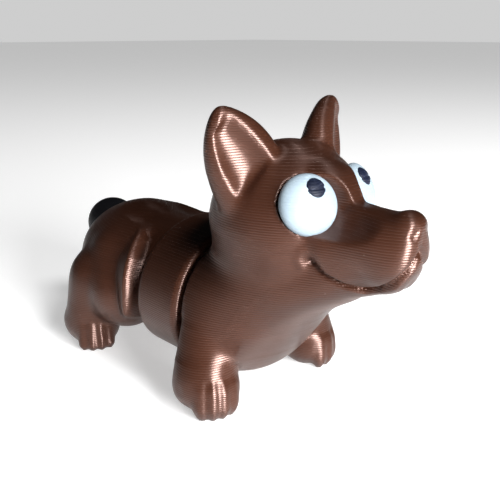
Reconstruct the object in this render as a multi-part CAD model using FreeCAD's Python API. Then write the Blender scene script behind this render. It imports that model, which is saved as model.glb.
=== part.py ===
import FreeCAD, Part
import math
import os

os.makedirs("parts", exist_ok=True)

# A little twisting dog in three body segments, drawn in mm.
# +X runs to the nose, +Y to the dog's left, +Z up, and the soles stand on z = 0.
# Every x below is measured from the front feet, then the whole dog is moved by
# MIDDLE_X so that the origin is the middle of its length on the ground.
MIDDLE_X = 8.62

# Body segments and the twisting axis
AXIS_Z = 11.65           # height of the twisting axis
BARREL_W = 10.7          # half width of the body at a joint
BARREL_H = 9.45          # half height of the body at a joint
RIM = 0.9                # rounding of the rims on both sides of a gap
GAP = 0.45               # gap between neighbouring segments
FRONT_RIM_X = -4.9       # flat rear face of the front segment
REAR_RIM_X = -13.95      # flat front face of the rear segment

# Swivel pins
PIN_R = 2.6              # shaft radius
PIN_HEAD_R = 4.0         # radius of the head that keeps the segments together
PIN_HEAD_L = 1.8         # thickness of the head
PIN_NECK_L = 3.0         # shaft inside the turning segment
PIN_PRESS_L = 3.4        # shaft pressed into the middle segment
PIN_RUN = 0.06           # running clearance around the neck
PIN_PRESS_GAP = 0.01     # clearance of the pressed end
HEAD_ROOM = 0.35         # clearance around the head

# Head, eyes and ears
EYE_C = FreeCAD.Vector(10.2, 4.4, 27.3)
EYE_RADIUS = 3.18
EYE_DOME = 1.65             # height of the domed front
EYE_BACK = 1.4              # depth of the round plug behind the dome
EYE_TURN = 22.0              # the eyes look outwards by this angle
EYE_LIFT = 20.0              # and upwards by this one
PUPIL_RADIUS = 1.05
PUPIL_DOME = 0.3
PUPIL_BACK = 0.9
PUPIL_TURN = 12.1            # direction of the pupil, seen from the centre of the eye's dome
PUPIL_LIFT = 43.9
SEAT = 0.03                  # clearance of each inlay in its seat

# Tail
TAIL_C = FreeCAD.Vector(-34.9, 0.0, 15.4)
TAIL_R = 3.95
TAIL_PEG_R = 1.6
TAIL_PEG_L = 3.0

RING = 20                    # points round each loft section


def vec(x, y, z):
    return FreeCAD.Vector(x, y, z)


def ring(centre, up, side):
    """A smooth closed curve on the ellipse with these two half axes."""
    points = []
    for i in range(RING):
        a = 2 * math.pi * i / RING
        points.append(centre + up * math.cos(a) + side * math.sin(a))
    curve = Part.BSplineCurve()
    curve.interpolate(points, PeriodicFlag=True)
    return Part.Wire([curve.toShape()])


def loft(rings):
    return Part.makeLoft(rings, True, False)


def section(x, z, tilt, half_h, half_w):
    """A body section across the middle plane, leaning back by tilt degrees."""
    t = math.radians(tilt)
    return ring(vec(x, 0, z), vec(-half_h * math.sin(t), 0, half_h * math.cos(t)), vec(0, half_w, 0))


def tube(rows):
    return loft([section(*row) for row in rows])


def rounded_end(x, direction):
    """Sections of a barrel end whose rim is rounded; direction points into the body."""
    rows = []
    for share in (0.0, 0.3, 1.0):
        drop = RIM * (1 - math.sin(share * math.pi / 2))
        rows.append((x + direction * share * RIM, AXIS_Z, 0, BARREL_H - drop, BARREL_W - drop))
    return rows


def aimed(shape, centre, turn, lift):
    """Tips a shape up about Y, turns it about Z and moves it to its centre."""
    shape.rotate(vec(0, 0, 0), vec(0, 1, 0), -lift)
    shape.rotate(vec(0, 0, 0), vec(0, 0, 1), turn)
    shape.translate(centre)
    return shape


def spheroid(centre, depth, radius, turn=0.0, lift=0.0):
    """Half an ellipse revolved about its axis, which points to +X before it is aimed."""
    side = vec(0, 0, radius)
    front = vec(depth, 0, 0)
    major, minor = (front, side) if depth > radius else (side, front)
    ellipse = Part.Ellipse(major, minor, vec(0, 0, 0))
    quarter = ellipse.parameter(side)
    ends = [quarter - math.pi / 2, quarter + math.pi / 2]
    arc = ellipse.toShape(*ends)
    axis = Part.makeLine(ellipse.value(ends[1]), ellipse.value(ends[0]))
    shell = Part.Face(Part.Wire([arc, axis])).revolve(vec(0, 0, 0), vec(1, 0, 0), 360)
    return aimed(shell, centre, turn, lift)


def limb(start, r_start, end, r_end):
    """Two balls joined by the cone that touches both."""
    axis = end - start
    length = axis.Length
    t = math.asin((r_start - r_end) / length)
    side = vec(math.cos(t), 0, math.sin(t))
    low = side * r_start
    high = side * r_end + vec(0, 0, length)
    first = Part.Arc(vec(0, 0, -r_start), vec(math.cos((t - math.pi / 2) / 2), 0,
                     math.sin((t - math.pi / 2) / 2)) * r_start, low).toShape()
    slope = Part.makeLine(low, high)
    last = Part.Arc(high, vec(math.cos((t + math.pi / 2) / 2), 0,
                    math.sin((t + math.pi / 2) / 2)) * r_end + vec(0, 0, length),
                    vec(0, 0, length + r_end)).toShape()
    spine = Part.makeLine(vec(0, 0, length + r_end), vec(0, 0, -r_start))
    face = Part.Face(Part.Wire([first, slope, last, spine]))
    body = face.revolve(vec(0, 0, 0), vec(0, 0, 1), 360)
    solid = Part.Solid(body) if body.ShapeType != "Solid" else body
    placement = FreeCAD.Placement(start, FreeCAD.Rotation(vec(0, 0, 1), axis))
    solid.Placement = placement
    return solid


def mirrored(shape):
    return shape.mirror(vec(0, 0, 0), vec(0, 1, 0))


def both_sides(shapes):
    return shapes + [mirrored(shape) for shape in shapes]


def join(shapes):
    return shapes[0].fuse(shapes[1:])


def above_ground(shape):
    ground = Part.makeBox(120, 60, 20, vec(-60, -30, -20))
    return shape.cut(ground)


def one_solid(shape):
    """The largest solid of a result, which drops any sliver."""
    return max(shape.Solids, key=lambda solid: solid.Volume)


def toes(x, y, turn):
    """Four rounded toes fanned out on the front of a paw."""
    parts = []
    for k in range(4):
        a = math.radians(turn + 24 * (k - 1.5))
        out = vec(math.cos(a), math.sin(a), 0)
        top = vec(x, y, 4.0) + out * 2.6
        tip = vec(x, y, 0.9) + out * 3.0
        parts.append(limb(top, 1.05, tip, 0.95))
    return parts


# Ear: sections run from inside the skull to the tip, each across the line
# between the ear's outer and inner base corners. Columns: centre x, y, z,
# half width and half thickness.
EAR_ACROSS = vec(2.1, -5.0, 6.5).normalize()
EAR_FACING = vec(0.89, 0.45, 0.06).normalize()
EAR = [
    (5.1, 5.6, 26.9, 4.7, 2.9),
    (4.25, 6.8, 29.3, 4.95, 2.75),
    (3.35, 7.85, 31.6, 4.6, 2.45),
    (2.65, 8.9, 33.6, 3.75, 2.0),
    (2.05, 9.65, 35.4, 2.45, 1.5),
    (1.85, 9.95, 36.5, 1.3, 0.95),
    (1.8, 10.0, 37.05, 0.5, 0.4),
]


def ear():
    outer = []
    hollow = []
    for x, y, z, half_w, half_t in EAR:
        middle = vec(x, y, z) - EAR_FACING * (half_t * 0.45)
        outer.append(ring(middle, EAR_ACROSS * half_w, EAR_FACING * half_t))
    for x, y, z, half_w, half_t in EAR[1:5]:
        middle = vec(x, y, z) + EAR_FACING * (half_t * 0.62)
        hollow.append(ring(middle, EAR_ACROSS * (half_w * 0.66), EAR_FACING * (half_t * 0.62)))
    return loft(outer), loft(hollow)


def swivel_space(face_x, direction):
    """Neck bore and head chamber for a swivel pin, entering from a flat face."""
    axis = vec(direction, 0, 0)
    mouth = vec(face_x, 0, AXIS_Z)
    bore = Part.makeCylinder(PIN_R + PIN_RUN, PIN_NECK_L, mouth, axis)
    chamber_at = mouth + axis * (PIN_NECK_L - HEAD_ROOM)
    chamber = Part.makeCylinder(PIN_HEAD_R + HEAD_ROOM, PIN_HEAD_L + 2 * HEAD_ROOM, chamber_at, axis)
    return bore.fuse(chamber)


def swivel_pin(face_x, direction):
    """Pin with its head in the turning segment and its plain end in the middle segment."""
    axis = vec(direction, 0, 0)
    tail_end = vec(face_x, 0, AXIS_Z) - axis * (GAP + PIN_PRESS_L)
    shaft = Part.makeCylinder(PIN_R, PIN_PRESS_L + GAP + PIN_NECK_L, tail_end, axis)
    head_at = vec(face_x, 0, AXIS_Z) + axis * PIN_NECK_L
    head = Part.makeCylinder(PIN_HEAD_R, PIN_HEAD_L, head_at, axis)
    return one_solid(shaft.fuse(head).removeSplitter())


def pressed_hole(face_x, direction):
    depth = PIN_PRESS_L + 0.05
    return Part.makeCylinder(PIN_R + PIN_PRESS_GAP, depth, vec(face_x, 0, AXIS_Z), vec(direction, 0, 0))


def dome_radius(radius, dome):
    return (radius ** 2 + dome ** 2) / (2 * dome)


def domed_plug(radius, dome, back):
    """A short round bar along X whose front is a spherical dome; the dome's rim is at x = 0."""
    ball_r = dome_radius(radius, dome)
    ball = Part.makeSphere(ball_r, vec(dome - ball_r, 0, 0))
    front = Part.makeCylinder(radius, dome + 1.0, vec(0, 0, 0), vec(1, 0, 0)).common(ball)
    plug = Part.makeCylinder(radius, back, vec(-back, 0, 0), vec(1, 0, 0))
    return plug.fuse(front).removeSplitter()


def seat_hole(radius, back):
    """The hole for a plug, open far out to the front."""
    return Part.makeCylinder(radius + SEAT, back + SEAT + 8.0, vec(-back - SEAT, 0, 0), vec(1, 0, 0))


def eye_placed(shape):
    return aimed(shape, EYE_C, EYE_TURN, EYE_LIFT)


def pupil_placed(shape):
    """Moves a pupil, or its hole, onto the eye's dome."""
    ball_r = dome_radius(EYE_RADIUS, EYE_DOME)
    centre = eye_placed(Part.Vertex(EYE_DOME - ball_r, 0, 0)).Point
    rim = Part.Vertex(math.sqrt(ball_r ** 2 - PUPIL_RADIUS ** 2), 0, 0)
    rim_centre = aimed(rim, centre, PUPIL_TURN, PUPIL_LIFT).Point
    return aimed(shape, rim_centre, PUPIL_TURN, PUPIL_LIFT)


def pupil():
    return one_solid(pupil_placed(domed_plug(PUPIL_RADIUS, PUPIL_DOME, PUPIL_BACK)))


def eye():
    hole = pupil_placed(seat_hole(PUPIL_RADIUS, PUPIL_BACK))
    return one_solid(eye_placed(domed_plug(EYE_RADIUS, EYE_DOME, EYE_BACK)).cut(hole))


def front_body():
    chest = tube(rounded_end(FRONT_RIM_X, 1) + [
        (-1.2, AXIS_Z + 0.5, 8, 9.5, 10.6),
        (2.4, 15.1, 28, 7.4, 9.6),
        (8.0, 18.8, 42, 5.4, 6.9),
        (13.4, 22.0, 45, 4.1, 4.3),
    ])
    skull = spheroid(vec(3.45, 0, 23.5), 9.35, 9.6)
    brow = spheroid(vec(7.3, 0, 26.3), 6.5, 5.5)
    muzzle = tube([
        (6.0, 23.6, 0, 5.6, 7.4),
        (10.0, 23.2, 0, 4.7, 6.1),
        (13.0, 23.2, 0, 4.25, 5.1),
        (16.0, 23.2, 0, 4.1, 4.5),
        (18.6, 23.3, 0, 3.9, 3.8),
        (20.4, 23.5, 0, 3.1, 2.7),
        (21.2, 23.5, 0, 1.4, 1.1),
    ])
    jaw = limb(vec(10, 0, 20.6), 4.1, vec(18.1, 0, 21.3), 2.2)
    nose = limb(vec(19.8, -0.5, 26.1), 1.75, vec(19.8, 0.5, 26.1), 1.75)
    outer, hollow = ear()
    leg = limb(vec(-2.5, 7.4, 10.0), 3.7, vec(-1.6, 9.2, 4.4), 3.75)
    paw = limb(vec(-1.7, 9.3, 3.6), 3.75, vec(-1.0, 9.2, 3.2), 3.6)
    body = join([chest, skull, brow, muzzle, jaw, nose] + both_sides([outer, leg, paw] + toes(-0.9, 9.25, 22)))
    body = above_ground(body)
    behind = Part.makeBox(10, 60, AXIS_Z + BARREL_W + GAP, vec(FRONT_RIM_X - 10, -30, 0))
    cuts = both_sides([hollow, eye_placed(seat_hole(EYE_RADIUS, EYE_BACK))])
    body = body.cut([behind, swivel_space(FRONT_RIM_X, 1)] + cuts)
    return one_solid(body)


def middle_body():
    front_x = FRONT_RIM_X - GAP
    rear_x = REAR_RIM_X + GAP
    outline = Part.Ellipse(vec(rear_x, BARREL_W, AXIS_Z), vec(rear_x, 0, AXIS_Z + BARREL_H), vec(rear_x, 0, AXIS_Z))
    barrel = Part.Face(Part.Wire([outline.toShape()])).extrude(vec(front_x - rear_x, 0, 0))
    rims = [edge for edge in barrel.Edges if edge.BoundBox.XLength < 0.01]
    body = barrel.makeFillet(RIM, rims)
    return one_solid(body.cut([pressed_hole(front_x, -1), pressed_hole(rear_x, 1)]))


def rear_body():
    rump = tube([
        (REAR_RIM_X, 11.9, 0, 7.5, 9.0),
        (REAR_RIM_X - 0.5, 11.9, 0, 8.05, 9.6),
        (REAR_RIM_X - 1.7, 12.0, 0, 8.4, 10.0),
        (-18.0, 12.2, 0, 8.45, 10.0),
        (-22.0, 12.4, 0, 8.5, 10.0),
        (-26.0, 12.3, 0, 8.55, 9.7),
        (-30.0, 12.0, 0, 7.9, 8.8),
        (-33.0, 11.8, 0, 6.5, 7.2),
        (-34.8, 11.8, 0, 4.3, 4.6),
        (-35.5, 11.8, 0, 1.8, 2.0),
    ])
    thigh = limb(vec(-23.8, 4.9, 13.3), 5.6, vec(-21.6, 6.8, 9.4), 5.5)
    leg = limb(vec(-26.4, 7.4, 10.0), 5.3, vec(-27.4, 9.3, 4.4), 3.95)
    paw = limb(vec(-28.1, 9.5, 3.6), 3.85, vec(-26.8, 9.4, 3.2), 3.7)
    body = join([rump] + both_sides([thigh, leg, paw] + toes(-26.8, 9.4, 30)))
    body = above_ground(body)
    tail_ball = Part.makeSphere(TAIL_R + SEAT, TAIL_C)
    peg = Part.makeCylinder(TAIL_PEG_R + SEAT, TAIL_R + TAIL_PEG_L + SEAT, TAIL_C, vec(1, 0, 0))
    return one_solid(body.cut([swivel_space(REAR_RIM_X, -1), tail_ball, peg]))


def tail():
    ball = Part.makeSphere(TAIL_R, TAIL_C)
    peg = Part.makeCylinder(TAIL_PEG_R, TAIL_R + TAIL_PEG_L, TAIL_C, vec(1, 0, 0))
    return one_solid(ball.fuse(peg).removeSplitter())


nodes = {
    "front_body": front_body(),
    "middle_body": middle_body(),
    "rear_body": rear_body(),
    "left_eye": eye(),
    "right_eye": mirrored(eye()),
    "left_pupil": pupil(),
    "right_pupil": mirrored(pupil()),
    "tail": tail(),
    "front_swivel_pin": swivel_pin(FRONT_RIM_X, 1),
    "rear_swivel_pin": swivel_pin(REAR_RIM_X, -1),
}
for name, shape in nodes.items():
    shape = shape.translated(vec(MIDDLE_X, 0, 0))
    shape.exportStep("parts/" + name + ".step")
    box = shape.BoundBox
    print(name, shape.ShapeType, len(shape.Solids), "solid", shape.isValid(), round(shape.Volume, 1),
          [round(v, 2) for v in (box.XMin, box.XMax, box.YMin, box.YMax, box.ZMin, box.ZMax)])
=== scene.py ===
# %% [markdown]
# # A small printed dog that twists in the middle
# The dog is a plastic print in three body segments, with inlaid eyes and a ball
# for a tail. The CAD frame gives every segment its place and its rough form.
# Here each segment is copied, turned into even clay-like faces, softened, and then
# sculpted by short functions. That keeps the forms close to the frame, which a
# free-hand model would not.

# %% Load the frame
import math

import bmesh
import bpy
import numpy as np
from mathutils import Euler, Matrix, Vector
from mathutils.bvhtree import BVHTree


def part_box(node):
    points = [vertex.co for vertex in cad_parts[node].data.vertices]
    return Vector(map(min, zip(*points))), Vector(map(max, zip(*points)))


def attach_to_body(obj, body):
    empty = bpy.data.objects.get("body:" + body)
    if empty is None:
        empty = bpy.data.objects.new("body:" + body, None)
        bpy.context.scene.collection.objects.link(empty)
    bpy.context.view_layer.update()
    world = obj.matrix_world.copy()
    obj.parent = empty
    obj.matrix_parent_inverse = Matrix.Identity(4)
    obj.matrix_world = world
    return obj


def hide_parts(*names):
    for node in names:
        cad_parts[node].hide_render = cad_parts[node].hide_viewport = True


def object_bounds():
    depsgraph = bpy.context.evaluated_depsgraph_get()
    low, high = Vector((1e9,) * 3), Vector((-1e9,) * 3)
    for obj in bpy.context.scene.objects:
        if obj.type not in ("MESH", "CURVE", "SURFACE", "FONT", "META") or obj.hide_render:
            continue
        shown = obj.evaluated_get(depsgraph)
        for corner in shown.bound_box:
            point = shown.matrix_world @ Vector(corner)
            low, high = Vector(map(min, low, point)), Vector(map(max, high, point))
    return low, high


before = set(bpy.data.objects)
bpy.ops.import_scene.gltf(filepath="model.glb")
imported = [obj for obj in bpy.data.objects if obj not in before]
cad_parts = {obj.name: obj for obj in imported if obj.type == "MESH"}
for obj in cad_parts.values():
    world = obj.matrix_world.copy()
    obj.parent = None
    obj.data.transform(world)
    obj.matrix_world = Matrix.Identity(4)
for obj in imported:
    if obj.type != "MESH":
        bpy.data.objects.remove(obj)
cad_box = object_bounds()
MM = 0.001

# %% [markdown]
# ## Measuring from the frame
# All sculpting is written in millimetres from a point on the ground between the
# front feet. The middle segment's front face is a known distance behind it, so the
# frame itself says where that point is. The left half is the mirror of the right
# half, so every feature is described once, for positive y.

# %% Dog coordinates
FRONT_FACE_TO_FEET = 5.35
AXIS_Z = 11.65
FEET_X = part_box("middle_body")[1].x / MM + FRONT_FACE_TO_FEET


def place(x, y, z):
    """A point given in dog millimetres, in the metres of the frame."""
    return Vector(((x + FEET_X) * MM, y * MM, z * MM))


print("feet at x =", round(FEET_X, 3), "mm")

# %% [markdown]
# ## Clay copies of the segments
# A CAD mesh is made of long thin triangles that can't be sculpted. A voxel remesh
# gives even faces of about a fifth of a millimetre, fine enough for the mouth
# crease and the toes. The copy is merged first, because the frame's mesh is loose
# triangles. A multires sculpt could do the same by hand, but functions can be read.

# %% Remesh a copy
VOXEL = 0.21 * MM
MERGE = 0.004 * MM


def link(name, mesh):
    piece = bpy.data.objects.new(name, mesh)
    bpy.context.scene.collection.objects.link(piece)
    return piece


def clay_copy(name, node):
    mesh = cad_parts[node].data.copy()
    mesh.name = name
    mesh.materials.clear()
    bm = bmesh.new()
    bm.from_mesh(mesh)
    bmesh.ops.remove_doubles(bm, verts=bm.verts, dist=MERGE)
    bm.to_mesh(mesh)
    bm.free()
    piece = link(name, mesh)
    remesh = piece.modifiers.new("even_faces", "REMESH")
    remesh.mode = "VOXEL"
    remesh.voxel_size = VOXEL
    depsgraph = bpy.context.evaluated_depsgraph_get()
    even = bpy.data.meshes.new_from_object(piece.evaluated_get(depsgraph))
    piece.modifiers.remove(remesh)
    piece.data = even
    print(name, "has", len(even.vertices), "points after remeshing")
    return piece


front = clay_copy("front_segment", "front_body")
middle = clay_copy("middle_segment", "middle_body")
rear = clay_copy("rear_segment", "rear_body")

# %% [markdown]
# ## Reading and moving the points
# Sculpting needs each point's place and normal as arrays. Places are handed out in
# dog millimetres with y made positive, so one rule shapes both sides.

# %% Point arrays


def points_of(piece):
    """Places in dog millimetres, normals, and the side each point is on."""
    count = len(piece.data.vertices)
    co = np.empty(count * 3)
    no = np.empty(count * 3)
    piece.data.vertices.foreach_get("co", co)
    piece.data.vertices.foreach_get("normal", no)
    co = co.reshape(-1, 3) / MM
    co[:, 0] -= FEET_X
    no = no.reshape(-1, 3)
    side = np.where(co[:, 1] < 0, -1.0, 1.0)
    co[:, 1] *= side
    no[:, 1] *= side
    return co, no, side


def put_points(piece, co, side):
    co = co.copy()
    co[:, 1] *= side
    co[:, 0] += FEET_X
    piece.data.vertices.foreach_set("co", (co * MM).ravel())
    piece.data.update()


def bell(distance, width):
    """1 at distance 0, falling off smoothly over about the width."""
    return np.exp(-(distance / width) ** 2)


def ramp(value, low, high):
    """0 below low, 1 above high, and a smooth rise between them."""
    t = np.clip((value - low) / (high - low), 0.0, 1.0)
    return t * t * (3.0 - 2.0 * t)


def near_line(co, line):
    """Each point's distance to a polyline, and the nearest place on it."""
    best = np.full(len(co), np.inf)
    foot = np.zeros_like(co)
    for a, b in zip(line[:-1], line[1:]):
        step = b - a
        t = np.clip(((co - a) @ step) / (step @ step), 0.0, 1.0)
        spot = a + t[:, None] * step
        away = np.linalg.norm(co - spot, axis=1)
        nearer = away < best
        best[nearer] = away[nearer]
        foot[nearer] = spot[nearer]
    return best, foot


def relax(piece, rounds, chosen):
    """Evens out the chosen points, round after round, like a finger rubbing clay."""
    bm = bmesh.new()
    bm.from_mesh(piece.data)
    verts = [v for v, pick in zip(bm.verts, chosen) if pick]
    for _ in range(rounds):
        bmesh.ops.smooth_vert(bm, verts=verts, factor=0.5,
                              use_axis_x=True, use_axis_y=True, use_axis_z=True)
    bm.to_mesh(piece.data)
    bm.free()
    piece.data.update()
    print(piece.name, "relaxed", len(verts), "points", rounds, "rounds")


def swell(piece, amount, share):
    """Grows the skin outwards by the amount in millimetres, times a share for each point."""
    co, no, side = points_of(piece)
    put_points(piece, co + no * (amount * share)[:, None], side)


# %% [markdown]
# ## Softening the front segment
# The legs, chest, neck, skull and muzzle of the real dog flow into each other. The
# frame's forms meet in creases, so the creases are rubbed out. The joint face, the
# eye seats, the ears and the toes keep their edges and get only a light touch.

# %% Soften the front
EYE = np.array([10.2, 4.4, 27.3])
EYE_RADIUS = 3.18
FRONT_RIM_X = -4.9

SWIVEL_ROOM = 5.5
LEG_SWELL = 0.42

co, no, side = points_of(front)
x, y, z = co.T
clear_of_eye = np.linalg.norm(co - EYE, axis=1) > EYE_RADIUS + 0.9
clear_of_rim = x > FRONT_RIM_X + 0.7
inside = (np.hypot(y, z - AXIS_Z) < SWIVEL_ROOM) & (x < 1.5)
below_ears = (z < 30.0) | (np.hypot(x - 3.4, y - 8.0) > 7.5)
free = clear_of_eye & clear_of_rim & ~inside
relax(front, 4, clear_of_rim & ~inside & (z > 0.5))                      # everything above the soles
relax(front, 10, free & (z > 4.2))                                       # above the toes
relax(front, 12, free & (z > 5.2))                                       # above the paws
relax(front, 14, free & below_ears & (z > 6.2))                          # all but the ears
relax(front, 110, free & (z > 6.8) & (z < 24.0) & (x < 8.0))             # legs into chest
relax(front, 230, free & (z > 11.0) & (z < 23.0) & (x < 7.0))            # neck into head
relax(front, 45, free & (z > 14.0) & (z < 30.0) & (x < 18.0) & (x > 6.0))    # cheek into muzzle
relax(front, 10, free & (x > 15.0))                                      # nose

# Rubbing shrinks the thin legs, so they are swollen back.
co, no, side = points_of(front)
leg = ramp(co[:, 1], 4.5, 8.0) * (1.0 - ramp(co[:, 2], 9.0, 15.0)) * ramp(co[:, 2], 0.3, 2.0)
swell(front, LEG_SWELL, leg * ramp(co[:, 0], FRONT_RIM_X + 0.3, FRONT_RIM_X + 1.5))

# %% [markdown]
# ## Eyelids
# The skin lies close against the whole rim of each eye and rises from there to the
# brow. In a frame of its own, with one axis along the eye's gaze, that is a cone
# which the skin may not stand out of.

# %% Press the skin down around the eyes
EYE_TURN = 22.0
EYE_LIFT = 20.0
LID_HEIGHT = 0.3        # how far the skin may stand above the rim's plane, right at the rim
LID_SLOPE = 1.7         # how fast it may rise outwards from there
LID_REACH = 6.0         # where the eyelid ends, from the eye's axis
turn = math.radians(EYE_TURN)
lift = math.radians(EYE_LIFT)
gaze = np.array([math.cos(lift) * math.cos(turn), math.cos(lift) * math.sin(turn), math.sin(lift)])
co, no, side = points_of(front)
height = (co - EYE) @ gaze
spread = np.linalg.norm(co - EYE - height[:, None] * gaze, axis=1)
allowed = LID_HEIGHT + LID_SLOPE * np.maximum(spread - EYE_RADIUS, 0.0)
around = (spread > EYE_RADIUS - 0.35) & (spread < LID_REACH) & (height > allowed)
lowered = np.where(around, height - allowed, 0.0) * (1.0 - ramp(spread, 4.6, LID_REACH))
put_points(front, co - lowered[:, None] * gaze, side)
lid = (spread > EYE_RADIUS + 0.1) & (spread < LID_REACH + 0.5) & (np.abs(height) < 5.0)
relax(front, 5, lid & (co[:, 0] > 4.0))
print("eyelids pressed down by up to", round(float(lowered.max()), 2), "mm")

# %% [markdown]
# ## The mouth
# The upper lip hangs over a thin lower jaw, and the line between them runs from a
# dimple in the cheek round to the front. It could be cut as a slot, but then the
# lips would have hard edges. Here a short polyline is laid onto the skin, points on
# it sink, and the skin swells on both sides: a lip above and a thin jaw below.

# %% Lay lines onto the skin


def skin_of(piece):
    bm = bmesh.new()
    bm.from_mesh(piece.data)
    tree = BVHTree.FromBMesh(bm)
    bm.free()
    return tree


def laid(piece, line, steps=6):
    """The line's points, with some between them, moved to the nearest place on the skin."""
    tree = skin_of(piece)
    points = []
    for a, b in zip(line[:-1], line[1:]):
        for k in range(steps):
            points.append(Vector(a).lerp(Vector(b), k / steps))
    points.append(Vector(line[-1]))
    spots = [tree.find_nearest(place(*p))[0] / MM for p in points]
    return np.array([[s.x - FEET_X, s.y, s.z] for s in spots])


def crease(piece, line, depth, width):
    """Sinks a groove along the line; a negative depth raises a ridge."""
    co, no, side = points_of(piece)
    away, foot = near_line(co, line)
    put_points(piece, co - no * (depth * bell(away, width))[:, None], side)


# %% Carve the mouth
MOUTH = [(11.6, 5.2, 21.5), (12.9, 4.5, 20.2), (14.75, 3.4, 19.35), (16.3, 2.1, 19.15), (17.5, 1.9, 19.5),
         (18.85, 2.05, 20.2), (20.4, 1.85, 21.5), (21.1, 1.0, 22.8), (21.2, 0.0, 24.0)]
DIMPLE = [(10.9, 5.1, 22.0), (11.3, 5.0, 21.6)]
CHEEK_FOLD = [(10.4, 5.6, 22.6), (10.2, 5.9, 21.8), (10.6, 5.8, 20.9)]
LIP = 0.42
JAW = 0.8

mouth = laid(front, MOUTH)
co, no, side = points_of(front)
away, foot = near_line(co, mouth)
above = away * np.sign(co[:, 2] - foot[:, 2])
lip = LIP * ramp(above, -0.1, 0.35) * bell(np.maximum(above - 0.9, 0.0), 1.5) * ramp(co[:, 0], 10.6, 13.0)
jaw = JAW * ramp(-above, 0.0, 0.5) * bell(np.maximum(-above - 1.4, 0.0), 1.2)
jaw *= ramp(co[:, 0], 13.5, 16.5) * (1.0 - 0.6 * ramp(co[:, 0], 19.4, 20.8))
put_points(front, co + no * (lip + jaw)[:, None], side)
crease(front, mouth, 0.75, 0.24)
crease(front, laid(front, DIMPLE), 0.2, 0.6)
crease(front, laid(front, CHEEK_FOLD), -0.16, 0.5)
relax(front, 2, free & (co[:, 0] > 8.0) & (co[:, 2] < 25.5))
print("mouth line has", len(mouth), "points")

# %% [markdown]
# ## Nose and brow
# The nose has two nostrils and a groove down to the lip, and a soft crease parts the
# brow from the bridge of the nose. All of them are the same short groove as the
# mouth, only shallower, so the same helper carves them.

# %% Carve the nose and the brow
NOSTRIL = [(21.4, 0.9, 25.9), (21.2, 1.2, 25.5)]
NOSE_GROOVE = [(22.0, 0.0, 25.0), (21.6, 0.0, 24.3), (21.3, 0.0, 23.5)]
BROW = [(13.0, 2.6, 27.4), (13.9, 1.3, 27.7), (14.3, 0.0, 27.9)]

crease(front, laid(front, NOSTRIL), 0.28, 0.45)
crease(front, laid(front, NOSE_GROOVE), 0.2, 0.4)
relax(front, 3, co[:, 0] > 18.5)
crease(front, laid(front, BROW), 0.16, 0.55)

# %% [markdown]
# ## Toes
# Each paw has four toes, which are ridges that fan out from the ankle and run down
# to the ground. The frame has them as plain capsules. They could be modelled as
# separate toes, but then they would look stuck on. A rub and three grooves between
# them make them grow out of the paw.

# %% Carve the toes
TOE_FAN = 24.0          # degrees between neighbouring toes
FRONT_PAW = (-0.9, 9.25, 22)
REAR_PAW = (-26.8, 9.4, 30)


def toe_gaps(x, y, turn):
    """The lines of the three gaps between the four toes of a paw."""
    lines = []
    for k in (-1, 0, 1):
        a = math.radians(turn + TOE_FAN * k)
        out = np.array([math.cos(a), math.sin(a), 0.0])
        lines.append([np.array([x, y, 4.5]) + out * 2.6, np.array([x, y, 2.4]) + out * 3.8,
                      np.array([x, y, 0.2]) + out * 3.9])
    return lines


def carve_toes(piece, x, y, turn):
    co = points_of(piece)[0]
    at_toes = (np.hypot(co[:, 0] - x, co[:, 1] - y) < 5.2) & (co[:, 2] > 0.12) & (co[:, 2] < 6.5)
    relax(piece, 12, at_toes)
    for line in toe_gaps(x, y, turn):
        crease(piece, laid(piece, line), 0.16, 0.42)
    relax(piece, 4, at_toes)


carve_toes(front, *FRONT_PAW)

# %% [markdown]
# ## The rear segment
# The rump, the thighs and the rear legs flow into each other as the front does, so
# they are rubbed in the same way. The joint face, the swivel's room inside and the
# tail's seat are left alone.

# %% Soften the rear
REAR_RIM_X = -13.95
TAIL_SEAT = np.array([-34.9, 0.0, 15.4])
co = points_of(rear)[0]
inside = (np.hypot(co[:, 1], co[:, 2] - AXIS_Z) < SWIVEL_ROOM) & (co[:, 0] > -20.5)
seat = np.linalg.norm(co - TAIL_SEAT, axis=1) < 4.5
clear_of_rim = co[:, 0] < REAR_RIM_X - 0.7
free = clear_of_rim & ~inside & ~seat
relax(rear, 3, clear_of_rim & ~inside & (co[:, 2] > 0.5))
relax(rear, 12, free & (co[:, 2] > 4.2))
relax(rear, 90, free & (co[:, 2] > 6.0))

# %% [markdown]
# ## The thigh's leading edge
# The thigh is a broad shell with a crisp leading edge, which stands over a narrower
# collar next to the joint and leans back as it climbs. The edge is given as points.
# Each is turned into an angle round the twisting axis, a distance along it and a
# radius, so that the collar side can be pulled in and the thigh side built up.

# %% Build the thigh's leading edge
THIGH_EDGE = [(-16.4, 10.9, 7.2), (-15.95, 11.35, 9.1), (-15.8, 11.4, 11.1), (-15.95, 11.05, 13.4),
              (-16.3, 9.75, 16.3), (-17.5, 7.2, 18.6), (-18.5, 5.8, 19.3), (-19.7, 3.9, 19.9)]
EDGE_FALL = 0.30        # how fast the shell falls away behind the edge
EDGE_WALL = 0.8         # length of the wall down to the collar
COLLAR_TOP = 8.0        # radius of the collar under the back
COLLAR_SIDE = 9.0       # and at the flank

edge = np.array(THIGH_EDGE)[::-1]
edge_angle = np.degrees(np.arctan2(edge[:, 1], edge[:, 2] - AXIS_Z))
edge_radius = np.hypot(edge[:, 1], edge[:, 2] - AXIS_Z)


def round_axis(co):
    """Each point's place across the twisting axis, its radius, and its angle from the top."""
    out = co[:, 1:] - np.array([0.0, AXIS_Z])
    return out, np.hypot(out[:, 0], out[:, 1]), np.degrees(np.arctan2(out[:, 0], out[:, 1]))


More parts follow.
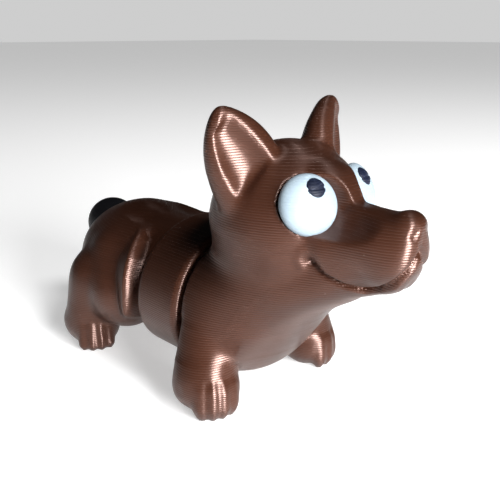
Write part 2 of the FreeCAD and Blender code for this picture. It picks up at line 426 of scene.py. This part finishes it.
def shape_thigh(piece):
    co, no, side = points_of(piece)
    out, radius, angle = round_axis(co)
    ahead = co[:, 0] - np.interp(angle, edge_angle, edge[:, 0])
    crest = np.interp(angle, edge_angle, edge_radius)
    shell = np.maximum(radius, crest - EDGE_FALL * np.clip(-ahead, 0.0, None))
    collar = np.minimum(radius, COLLAR_TOP + (COLLAR_SIDE - COLLAR_TOP) * ramp(angle, 50.0, 95.0))
    shaped = np.where(ahead < 0, shell, crest + (collar - crest) * ramp(ahead, 0.0, EDGE_WALL))
    share = ramp(angle, 16.0, 40.0) * (1.0 - ramp(angle, 106.0, 122.0)) * ramp(co[:, 0], -24.5, -21.0)
    shaped = radius + (shaped - radius) * share
    back = 8.15 + 0.9 * ramp(-co[:, 0], 19.0, 25.5)
    flank_room = 5.0 * ramp(angle, 22.0, 72.0) + 9.0 * ramp(angle, 60.0, 80.0)
    change = (np.minimum(shaped, back + flank_room) - radius) * ramp(radius, 6.0, 7.5)
    factor = 1.0 + change / np.maximum(radius, 1.0)
    co[:, 1] = out[:, 0] * factor
    co[:, 2] = out[:, 1] * factor + AXIS_Z
    put_points(piece, co, side)
    print("thigh edge moved points by up to", round(float(np.abs(change).max()), 2), "mm")


shape_thigh(rear)
co = points_of(rear)[0]
relax(rear, 5, (co[:, 0] < REAR_RIM_X - 0.5) & (co[:, 2] > 4.2) & ~inside)
relax(rear, 40, (np.abs(co[:, 1]) < 5.2) & (co[:, 2] > 17.2) & (co[:, 0] < REAR_RIM_X - 0.2))
carve_toes(rear, *REAR_PAW)

# %% [markdown]
# ## The middle segment
# The middle is a plain barrel whose lower flanks are a little fuller than an
# ellipse. The frame's rounded rims are rubbed first. Only their x keeps the rub, so
# that the girth is set by the swelling alone.

# %% Fill out the middle
FULLER = 0.045          # extra girth at the fullest place, as a share
FULLEST_ANGLE = 112.0
co, no, side = points_of(middle)
out, radius, angle = round_axis(co)
skin = ramp(radius, 7.0, 8.5)
relax(middle, 4, skin > 0.5)
co, no, side = points_of(middle)
girth = 1.0 + FULLER * bell(angle - FULLEST_ANGLE, 24.0) * skin
co[:, 1] = out[:, 0] * girth
co[:, 2] = out[:, 1] * girth + AXIS_Z
put_points(middle, co, side)
print("middle is up to", round(float(co[:, 1].max()), 2), "mm wide on each side")

# %% [markdown]
# ## Staying inside the frame's box
# Swelling the skin can carry a point a little beyond the part's overall size. Those
# few points are brought back onto the box, so the looks never make the part bigger.

# %% Keep the skin inside the box
MARGIN = 0.01 * MM


def keep_inside(piece):
    count = len(piece.data.vertices)
    co = np.empty(count * 3)
    piece.data.vertices.foreach_get("co", co)
    co = co.reshape(-1, 3)
    low = np.array(cad_box[0]) + MARGIN
    low[2] = 0.0
    high = np.array(cad_box[1]) - MARGIN
    held = np.clip(co, low, high)
    piece.data.vertices.foreach_set("co", held.ravel())
    piece.data.update()
    print(piece.name, "brought back by up to", round(float(np.abs(held - co).max()) / MM, 3), "mm")


for piece in (front, middle, rear):
    keep_inside(piece)

# %% [markdown]
# ## Inlays and tail
# The eyes are white domes with a dark round inlay, and the tail is a black ball.
# They could be cut out of the sculpted head, but flattened spheres give cleaner
# domes. The pupil has a little ripple in step with the layers, because a print's
# edges are jagged where two colours meet.

# %% Eyes, pupils and tail
LAYER = 0.28 * MM
EYE_DOME = 1.65
EYE_LAP = 0.2                       # the eye reaches this far under the eyelid
PUPIL_TURN = 12.1
PUPIL_LIFT = 43.9
PUPIL_RADII = (0.38, 1.08, 1.16)    # depth, half width and half height of the inlay
PUPIL_SINK = 0.14
PUPIL_JAG = 0.05
JAG_BEAT = 2.4                      # radians between the ripples of neighbouring layers
TAIL_RADIUS = 3.95


def aim(turn, lift):
    """Turns +X up by lift and round by turn, in degrees."""
    return Euler((0.0, -math.radians(lift), math.radians(turn)), "XYZ").to_matrix().to_4x4()


def ball(name, centre, radii, turn=0.0, lift=0.0, jag=0.0):
    """A flattened ball with its poles along X, whose rim is jagged from layer to layer."""
    bm = bmesh.new()
    bmesh.ops.create_uvsphere(bm, u_segments=96, v_segments=64, radius=1.0)
    bmesh.ops.rotate(bm, verts=bm.verts, cent=(0, 0, 0), matrix=Matrix.Rotation(math.pi / 2, 3, "Y"))
    bmesh.ops.scale(bm, verts=bm.verts, vec=Vector(radii) * MM)
    bmesh.ops.transform(bm, verts=bm.verts, matrix=Matrix.Translation(centre) @ aim(turn, lift))
    for v in bm.verts:
        step = math.floor(v.co.z / LAYER)
        v.co += v.normal * (jag * MM * math.sin(step * JAG_BEAT))
    bmesh.ops.recalc_face_normals(bm, faces=bm.faces)
    mesh = bpy.data.meshes.new(name)
    bm.to_mesh(mesh)
    bm.free()
    mesh.shade_smooth()
    return link(name, mesh)


def eye_at(sign):
    centre = place(EYE[0], sign * EYE[1], EYE[2])
    radii = (EYE_DOME, EYE_RADIUS + EYE_LAP, EYE_RADIUS + EYE_LAP)
    return ball("left_eye_dome" if sign > 0 else "right_eye_dome", centre, radii, sign * EYE_TURN, EYE_LIFT)


def pupil_at(sign, eye):
    """A dark lens laid on the eye's dome, square to its surface."""
    axis = aim(sign * PUPIL_TURN, PUPIL_LIFT) @ Vector((1.0, 0.0, 0.0))
    look = aim(sign * EYE_TURN, EYE_LIFT) @ Vector((1.0, 0.0, 0.0))
    dome_radius = (EYE_RADIUS ** 2 + EYE_DOME ** 2) / (2 * EYE_DOME)
    heart = place(EYE[0], sign * EYE[1], EYE[2]) + look * (EYE_DOME - dome_radius) * MM
    spot, normal = skin_of(eye).ray_cast(heart + axis * 0.02, -axis)[:2]
    turned = math.degrees(math.atan2(normal.y, normal.x))
    lifted = math.degrees(math.asin(normal.z))
    name = "left_pupil_inlay" if sign > 0 else "right_pupil_inlay"
    return ball(name, spot - normal * PUPIL_SINK * MM, PUPIL_RADII, turned, lifted, PUPIL_JAG)


eyes = [eye_at(1), eye_at(-1)]
pupils = [pupil_at(1, eyes[0]), pupil_at(-1, eyes[1])]
tail_low, tail_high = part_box("tail")
tail_centre = Vector((tail_low.x + TAIL_RADIUS * MM, 0.0, (tail_low.z + tail_high.z) / 2))
tail_ball = ball("tail_ball", tail_centre, (TAIL_RADIUS,) * 3)
print("tail centre", [round(v / MM, 2) for v in tail_centre])

# %% [markdown]
# ## Printed plastic: the layers
# Printed plastic shows its layers. On steep walls each layer is a rounded bead, and
# on shallow slopes the layers become flat steps whose edges draw contour lines. An
# image could be wrapped round the dog, but it would slide over the slopes. Both forms
# follow from the height alone, so the bump is worked out from the object's z and from
# how far the surface faces up.

# %% Layers as a bump
WOBBLE_SCALE = 350.0
WOBBLE = 0.06           # how far a layer's edge wanders, as a share of a layer


def math_node(tree, operation, *inputs):
    node = tree.nodes.new("ShaderNodeMath")
    node.operation = operation
    for socket, value in zip(node.inputs, inputs):
        if isinstance(value, (int, float)):
            socket.default_value = value
        else:
            tree.links.new(value, socket)
    return node.outputs[0]


def layer_bump(tree, bead, stair):
    """The printed layers' height in metres, and a random value for each layer."""
    coords = tree.nodes.new("ShaderNodeTexCoord")
    split = tree.nodes.new("ShaderNodeSeparateXYZ")
    tree.links.new(coords.outputs["Object"], split.inputs[0])
    facing = tree.nodes.new("ShaderNodeSeparateXYZ")
    tree.links.new(coords.outputs["Normal"], facing.inputs[0])
    wobble = tree.nodes.new("ShaderNodeTexNoise")
    wobble.inputs["Scale"].default_value = WOBBLE_SCALE
    wobble.inputs["Detail"].default_value = 1.0
    tree.links.new(coords.outputs["Object"], wobble.inputs["Vector"])
    drift = math_node(tree, "MULTIPLY", wobble.outputs["Fac"], WOBBLE)
    layers = math_node(tree, "ADD", math_node(tree, "DIVIDE", split.outputs["Z"], LAYER), drift)
    part = math_node(tree, "FRACT", layers)
    number = math_node(tree, "FLOOR", layers)
    chance = tree.nodes.new("ShaderNodeTexWhiteNoise")
    chance.noise_dimensions = "1D"
    tree.links.new(number, chance.inputs["W"])
    centred = math_node(tree, "SUBTRACT", math_node(tree, "MULTIPLY", part, 2.0), 1.0)
    squared = math_node(tree, "MULTIPLY", centred, centred)
    round_top = math_node(tree, "SQRT", math_node(tree, "SUBTRACT", 1.02, squared))
    up = facing.outputs["Z"]
    level = math_node(tree, "ABSOLUTE", up)
    steep = math_node(tree, "SUBTRACT", 1.0, level)
    beads = math_node(tree, "MULTIPLY", math_node(tree, "MULTIPLY", round_top, steep), bead * MM)
    half = math_node(tree, "MULTIPLY", level, 0.5)
    slant = math_node(tree, "MULTIPLY", up, math_node(tree, "SUBTRACT", 0.5, part))
    tread = math_node(tree, "ADD", slant, half)
    stairs = math_node(tree, "MULTIPLY", tread, stair * LAYER)
    return math_node(tree, "ADD", beads, stairs), chance.outputs["Value"], coords


# %% [markdown]
# ## Printed plastic: colour and shine
# Filament varies a little from layer to layer and along its length, so the colour
# and the gloss do too. Edges are rubbed lighter, and the dark plastic has caught some
# pale dust. Silk filament shines like brushed metal: the layers scatter a light up
# and down but hardly sideways, so highlights become upright streaks. Finer bumps
# would do that too slowly to render, so the shader's own anisotropy does it, with
# its tangent along the dog's height.

# %% A printed plastic
CLOUD_SCALE = 160.0
CLOUD_SHARE = 0.85      # the rest of the variation goes from layer to layer
WEAR_FROM = 0.53        # pointiness above which an edge is rubbed
DUST_SCALE = 420.0
DUST = (0.5, 0.42, 0.38, 1.0)


def noise_cloud(tree, coords, chance):
    """A soft cloud, with a little of each layer's own random value."""
    cloud = tree.nodes.new("ShaderNodeTexNoise")
    cloud.inputs["Scale"].default_value = CLOUD_SCALE
    cloud.inputs["Detail"].default_value = 3.0
    tree.links.new(coords.outputs["Object"], cloud.inputs["Vector"])
    soft = math_node(tree, "MULTIPLY", cloud.outputs["Fac"], CLOUD_SHARE)
    return math_node(tree, "ADD", soft, math_node(tree, "MULTIPLY", chance, 1.0 - CLOUD_SHARE))


def blend(tree, amount, first, second):
    """Mixes two colours, each a tuple or a socket."""
    mix = tree.nodes.new("ShaderNodeMix")
    mix.data_type = "RGBA"
    tree.links.new(amount, mix.inputs[0])
    for socket, colour in zip((mix.inputs[6], mix.inputs[7]), (first, second)):
        if isinstance(colour, tuple):
            socket.default_value = colour
        else:
            tree.links.new(colour, socket)
    return mix.outputs[2]


def rubbed_edges(tree):
    wear = tree.nodes.new("ShaderNodeNewGeometry").outputs["Pointiness"]
    edge = math_node(tree, "MAXIMUM", math_node(tree, "SUBTRACT", wear, WEAR_FROM), 0.0)
    return math_node(tree, "MINIMUM", math_node(tree, "MULTIPLY", edge, 2.5), 0.5)


def dust_spots(tree, coords, specks):
    dust = tree.nodes.new("ShaderNodeTexVoronoi")
    dust.inputs["Scale"].default_value = DUST_SCALE
    tree.links.new(coords.outputs["Object"], dust.inputs["Vector"])
    spot = math_node(tree, "LESS_THAN", dust.outputs["Distance"], specks)
    return math_node(tree, "MULTIPLY", spot, 0.6)


def up_the_dog(tree):
    """The dog's own height as a direction, so that streaks turn with a twisted segment."""
    upwards = tree.nodes.new("ShaderNodeVectorTransform")
    upwards.vector_type = "VECTOR"
    upwards.convert_from = "OBJECT"
    upwards.convert_to = "WORLD"
    upwards.inputs[0].default_value = (0.0, 0.0, 1.0)
    return upwards.outputs[0]


def printed_plastic(name, dark, light, roughness, metallic, bead, stair,
                    specks=0.0, shine=0.5, stretch=0.0):
    material = bpy.data.materials.new(name)
    material.use_nodes = True
    tree = material.node_tree
    shader = tree.nodes["Principled BSDF"]
    height, chance, coords = layer_bump(tree, bead, stair)
    colour = blend(tree, noise_cloud(tree, coords, chance), (*dark, 1.0), (*light, 1.0))
    worn = tuple(min(1.0, c * 1.6 + 0.02) for c in light)
    colour = blend(tree, rubbed_edges(tree), colour, (*worn, 1.0))
    if specks:
        colour = blend(tree, dust_spots(tree, coords, specks), colour, DUST)
    tree.links.new(colour, shader.inputs["Base Color"])
    gloss = math_node(tree, "ADD", roughness - 0.02, math_node(tree, "MULTIPLY", chance, 0.04))
    tree.links.new(gloss, shader.inputs["Roughness"])
    bump = tree.nodes.new("ShaderNodeBump")
    bump.inputs["Strength"].default_value = 1.0
    bump.inputs["Distance"].default_value = 1.0
    tree.links.new(height, bump.inputs["Height"])
    tree.links.new(bump.outputs["Normal"], shader.inputs["Normal"])
    tree.links.new(up_the_dog(tree), shader.inputs["Tangent"])
    shader.inputs["Anisotropic"].default_value = stretch
    shader.inputs["Metallic"].default_value = metallic
    shader.inputs["Specular IOR Level"].default_value = shine
    print("material", name, "with", len(tree.nodes), "nodes")
    return material


# %% [markdown]
# ## The four plastics
# One recipe makes all four. The silk brown is half metallic, strongly stretched and
# deeply layered. The white is nearly smooth. The two dark ones are dull, so that the
# pupils and the tail stay dark in the light.

# %% Mix the four plastics
bronze = printed_plastic("silk_bronze", (0.046, 0.0155, 0.0080), (0.078, 0.028, 0.016), roughness=0.35,
                         metallic=0.5, bead=0.05, stair=0.9, specks=0.03, shine=0.8, stretch=0.85)
white = printed_plastic("white_plastic", (0.19, 0.24, 0.28), (0.225, 0.28, 0.32), roughness=0.42,
                        metallic=0.0, bead=0.010, stair=0.25)
navy = printed_plastic("navy_plastic", (0.002, 0.003, 0.008), (0.005, 0.008, 0.022), roughness=0.5,
                       metallic=0.0, bead=0.03, stair=0.3, shine=0.2)
black = printed_plastic("black_plastic", (0.002, 0.002, 0.003), (0.006, 0.006, 0.008), roughness=0.5,
                        metallic=0.0, bead=0.03, stair=0.3, shine=0.3)

# %% [markdown]
# ## Putting the dog together
# Each piece rides on its segment, stands for its CAD node and names the plastic it
# is printed in. The swivel pins stay as the frame made them, since they are hidden.

# %% Attach the pieces


def attach(piece, body, node, material):
    piece.data.materials.clear()
    piece.data.materials.append(material)
    piece.data.shade_smooth()
    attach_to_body(piece, body)
    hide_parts(node)


attach(front, "front", "front_body", bronze)
attach(middle, "middle", "middle_body", bronze)
attach(rear, "rear", "rear_body", bronze)
for eye, pupil, hand in zip(eyes, pupils, ("left", "right")):
    attach(eye, "front", hand + "_eye", white)
    attach(pupil, "front", hand + "_pupil", navy)
attach(tail_ball, "rear", "tail", black)
for node in ("front_swivel_pin", "rear_swivel_pin"):
    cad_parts[node].data.materials.clear()
    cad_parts[node].data.materials.append(bronze)

# %% [markdown]
# ## The floor
# The dog stands on plain pale paper. A little light of its own keeps the paper pale
# far from the lamps, and it throws light back onto the chest and under the jaw.

# %% Lay the paper
FLOOR_HALF = 3.0
FLOOR_GREY = 0.65
FLOOR_GLOW = 0.5
floor_mesh = bpy.data.meshes.new("floor")
bm = bmesh.new()
bmesh.ops.create_grid(bm, x_segments=1, y_segments=1, size=FLOOR_HALF)
bm.to_mesh(floor_mesh)
bm.free()
floor = link("floor", floor_mesh)
paper = bpy.data.materials.new("white_paper")
paper.use_nodes = True
paper_shader = paper.node_tree.nodes["Principled BSDF"]
paper_shader.inputs["Base Color"].default_value = (FLOOR_GREY, FLOOR_GREY, FLOOR_GREY, 1.0)
paper_shader.inputs["Roughness"].default_value = 0.9
paper_shader.inputs["Emission Color"].default_value = (1.0, 1.0, 1.0, 1.0)
paper_shader.inputs["Emission Strength"].default_value = FLOOR_GLOW
floor_mesh.materials.append(paper)
print("floor is", 2 * FLOOR_HALF, "m square")

# %% [markdown]
# ## The room around it
# The room is nearly dark overhead, so that the silk plastic has dark parts between
# its highlights. Only a low band of backdrop, where the floor ends, is pale.

# %% Studio surroundings
ROOM_LOW = 0.32         # strength near the horizon
ROOM_HIGH = 0.08        # strength overhead
BACKDROP_TOP = 0.08     # height of the pale band, as the z of a direction
BACKDROP_GLOW = 12.0
world = bpy.data.worlds.new("studio")
world.use_nodes = True
room = world.node_tree
direction = room.nodes.new("ShaderNodeTexCoord")
height = room.nodes.new("ShaderNodeSeparateXYZ")
room.links.new(direction.outputs["Generated"], height.inputs[0])
fade = room.nodes.new("ShaderNodeMapRange")
fade.inputs["From Min"].default_value = 0.05
fade.inputs["From Max"].default_value = 0.5
fade.inputs["To Min"].default_value = ROOM_LOW
fade.inputs["To Max"].default_value = ROOM_HIGH
room.links.new(height.outputs["Z"], fade.inputs["Value"])
band = math_node(room, "LESS_THAN", height.outputs["Z"], BACKDROP_TOP)
strength = math_node(room, "ADD", fade.outputs["Result"], math_node(room, "MULTIPLY", band, BACKDROP_GLOW))
room.links.new(strength, room.nodes["Background"].inputs["Strength"])
bpy.context.scene.world = world
print("room strength from", ROOM_HIGH, "to", ROOM_LOW + BACKDROP_GLOW)

# %% [markdown]
# ## The lamps
# A round soft lamp low in front of the nose draws the long highlights on the ears,
# the snout and the paws. A weaker one above it lights the brow and the crown.

# %% Hang the lamps


def soft_light(name, at, aimed_at, size, power):
    data = bpy.data.lights.new(name, "AREA")
    data.shape = "DISK"
    data.size = size
    data.energy = power
    lamp = bpy.data.objects.new(name, data)
    lamp.location = at
    lamp.rotation_euler = (Vector(aimed_at) - Vector(at)).to_track_quat("-Z", "Y").to_euler()
    bpy.context.scene.collection.objects.link(lamp)
    print(name, "is", power, "W and", size, "m wide")


soft_light("front_light", at=(0.42, -0.06, 0.10), aimed_at=(0.0, 0.0, 0.018), size=0.20, power=7.0)
soft_light("high_light", at=(0.26, 0.02, 0.34), aimed_at=(0.03, 0.0, 0.02), size=0.12, power=1.4)
bpy.context.scene.view_settings.view_transform = "Standard"

# %% [markdown]
# ## The camera
# The camera stands in front of the dog and to its right, a little above its head,
# and looks down at it. It is close, so the head looks large against the rump.

# %% Camera
CAMERA_AT = place(53.6, -55.6, 44.65)
CAMERA_AZIMUTH = 45.55
CAMERA_TILT = 18.5
CAMERA_LENS = 46.87
camera_data = bpy.data.cameras.new("camera")
camera_data.sensor_width = 36.0
camera_data.lens = CAMERA_LENS
camera_data.clip_start = 0.005
camera = bpy.data.objects.new("camera", camera_data)
camera.location = CAMERA_AT
camera.rotation_euler = (math.radians(90.0 - CAMERA_TILT), 0.0, math.radians(CAMERA_AZIMUTH))
bpy.context.scene.collection.objects.link(camera)
bpy.context.scene.camera = camera
print("camera is", round((camera.location - Vector((0.0, 0.0, 0.018))).length / MM), "mm from the dog")
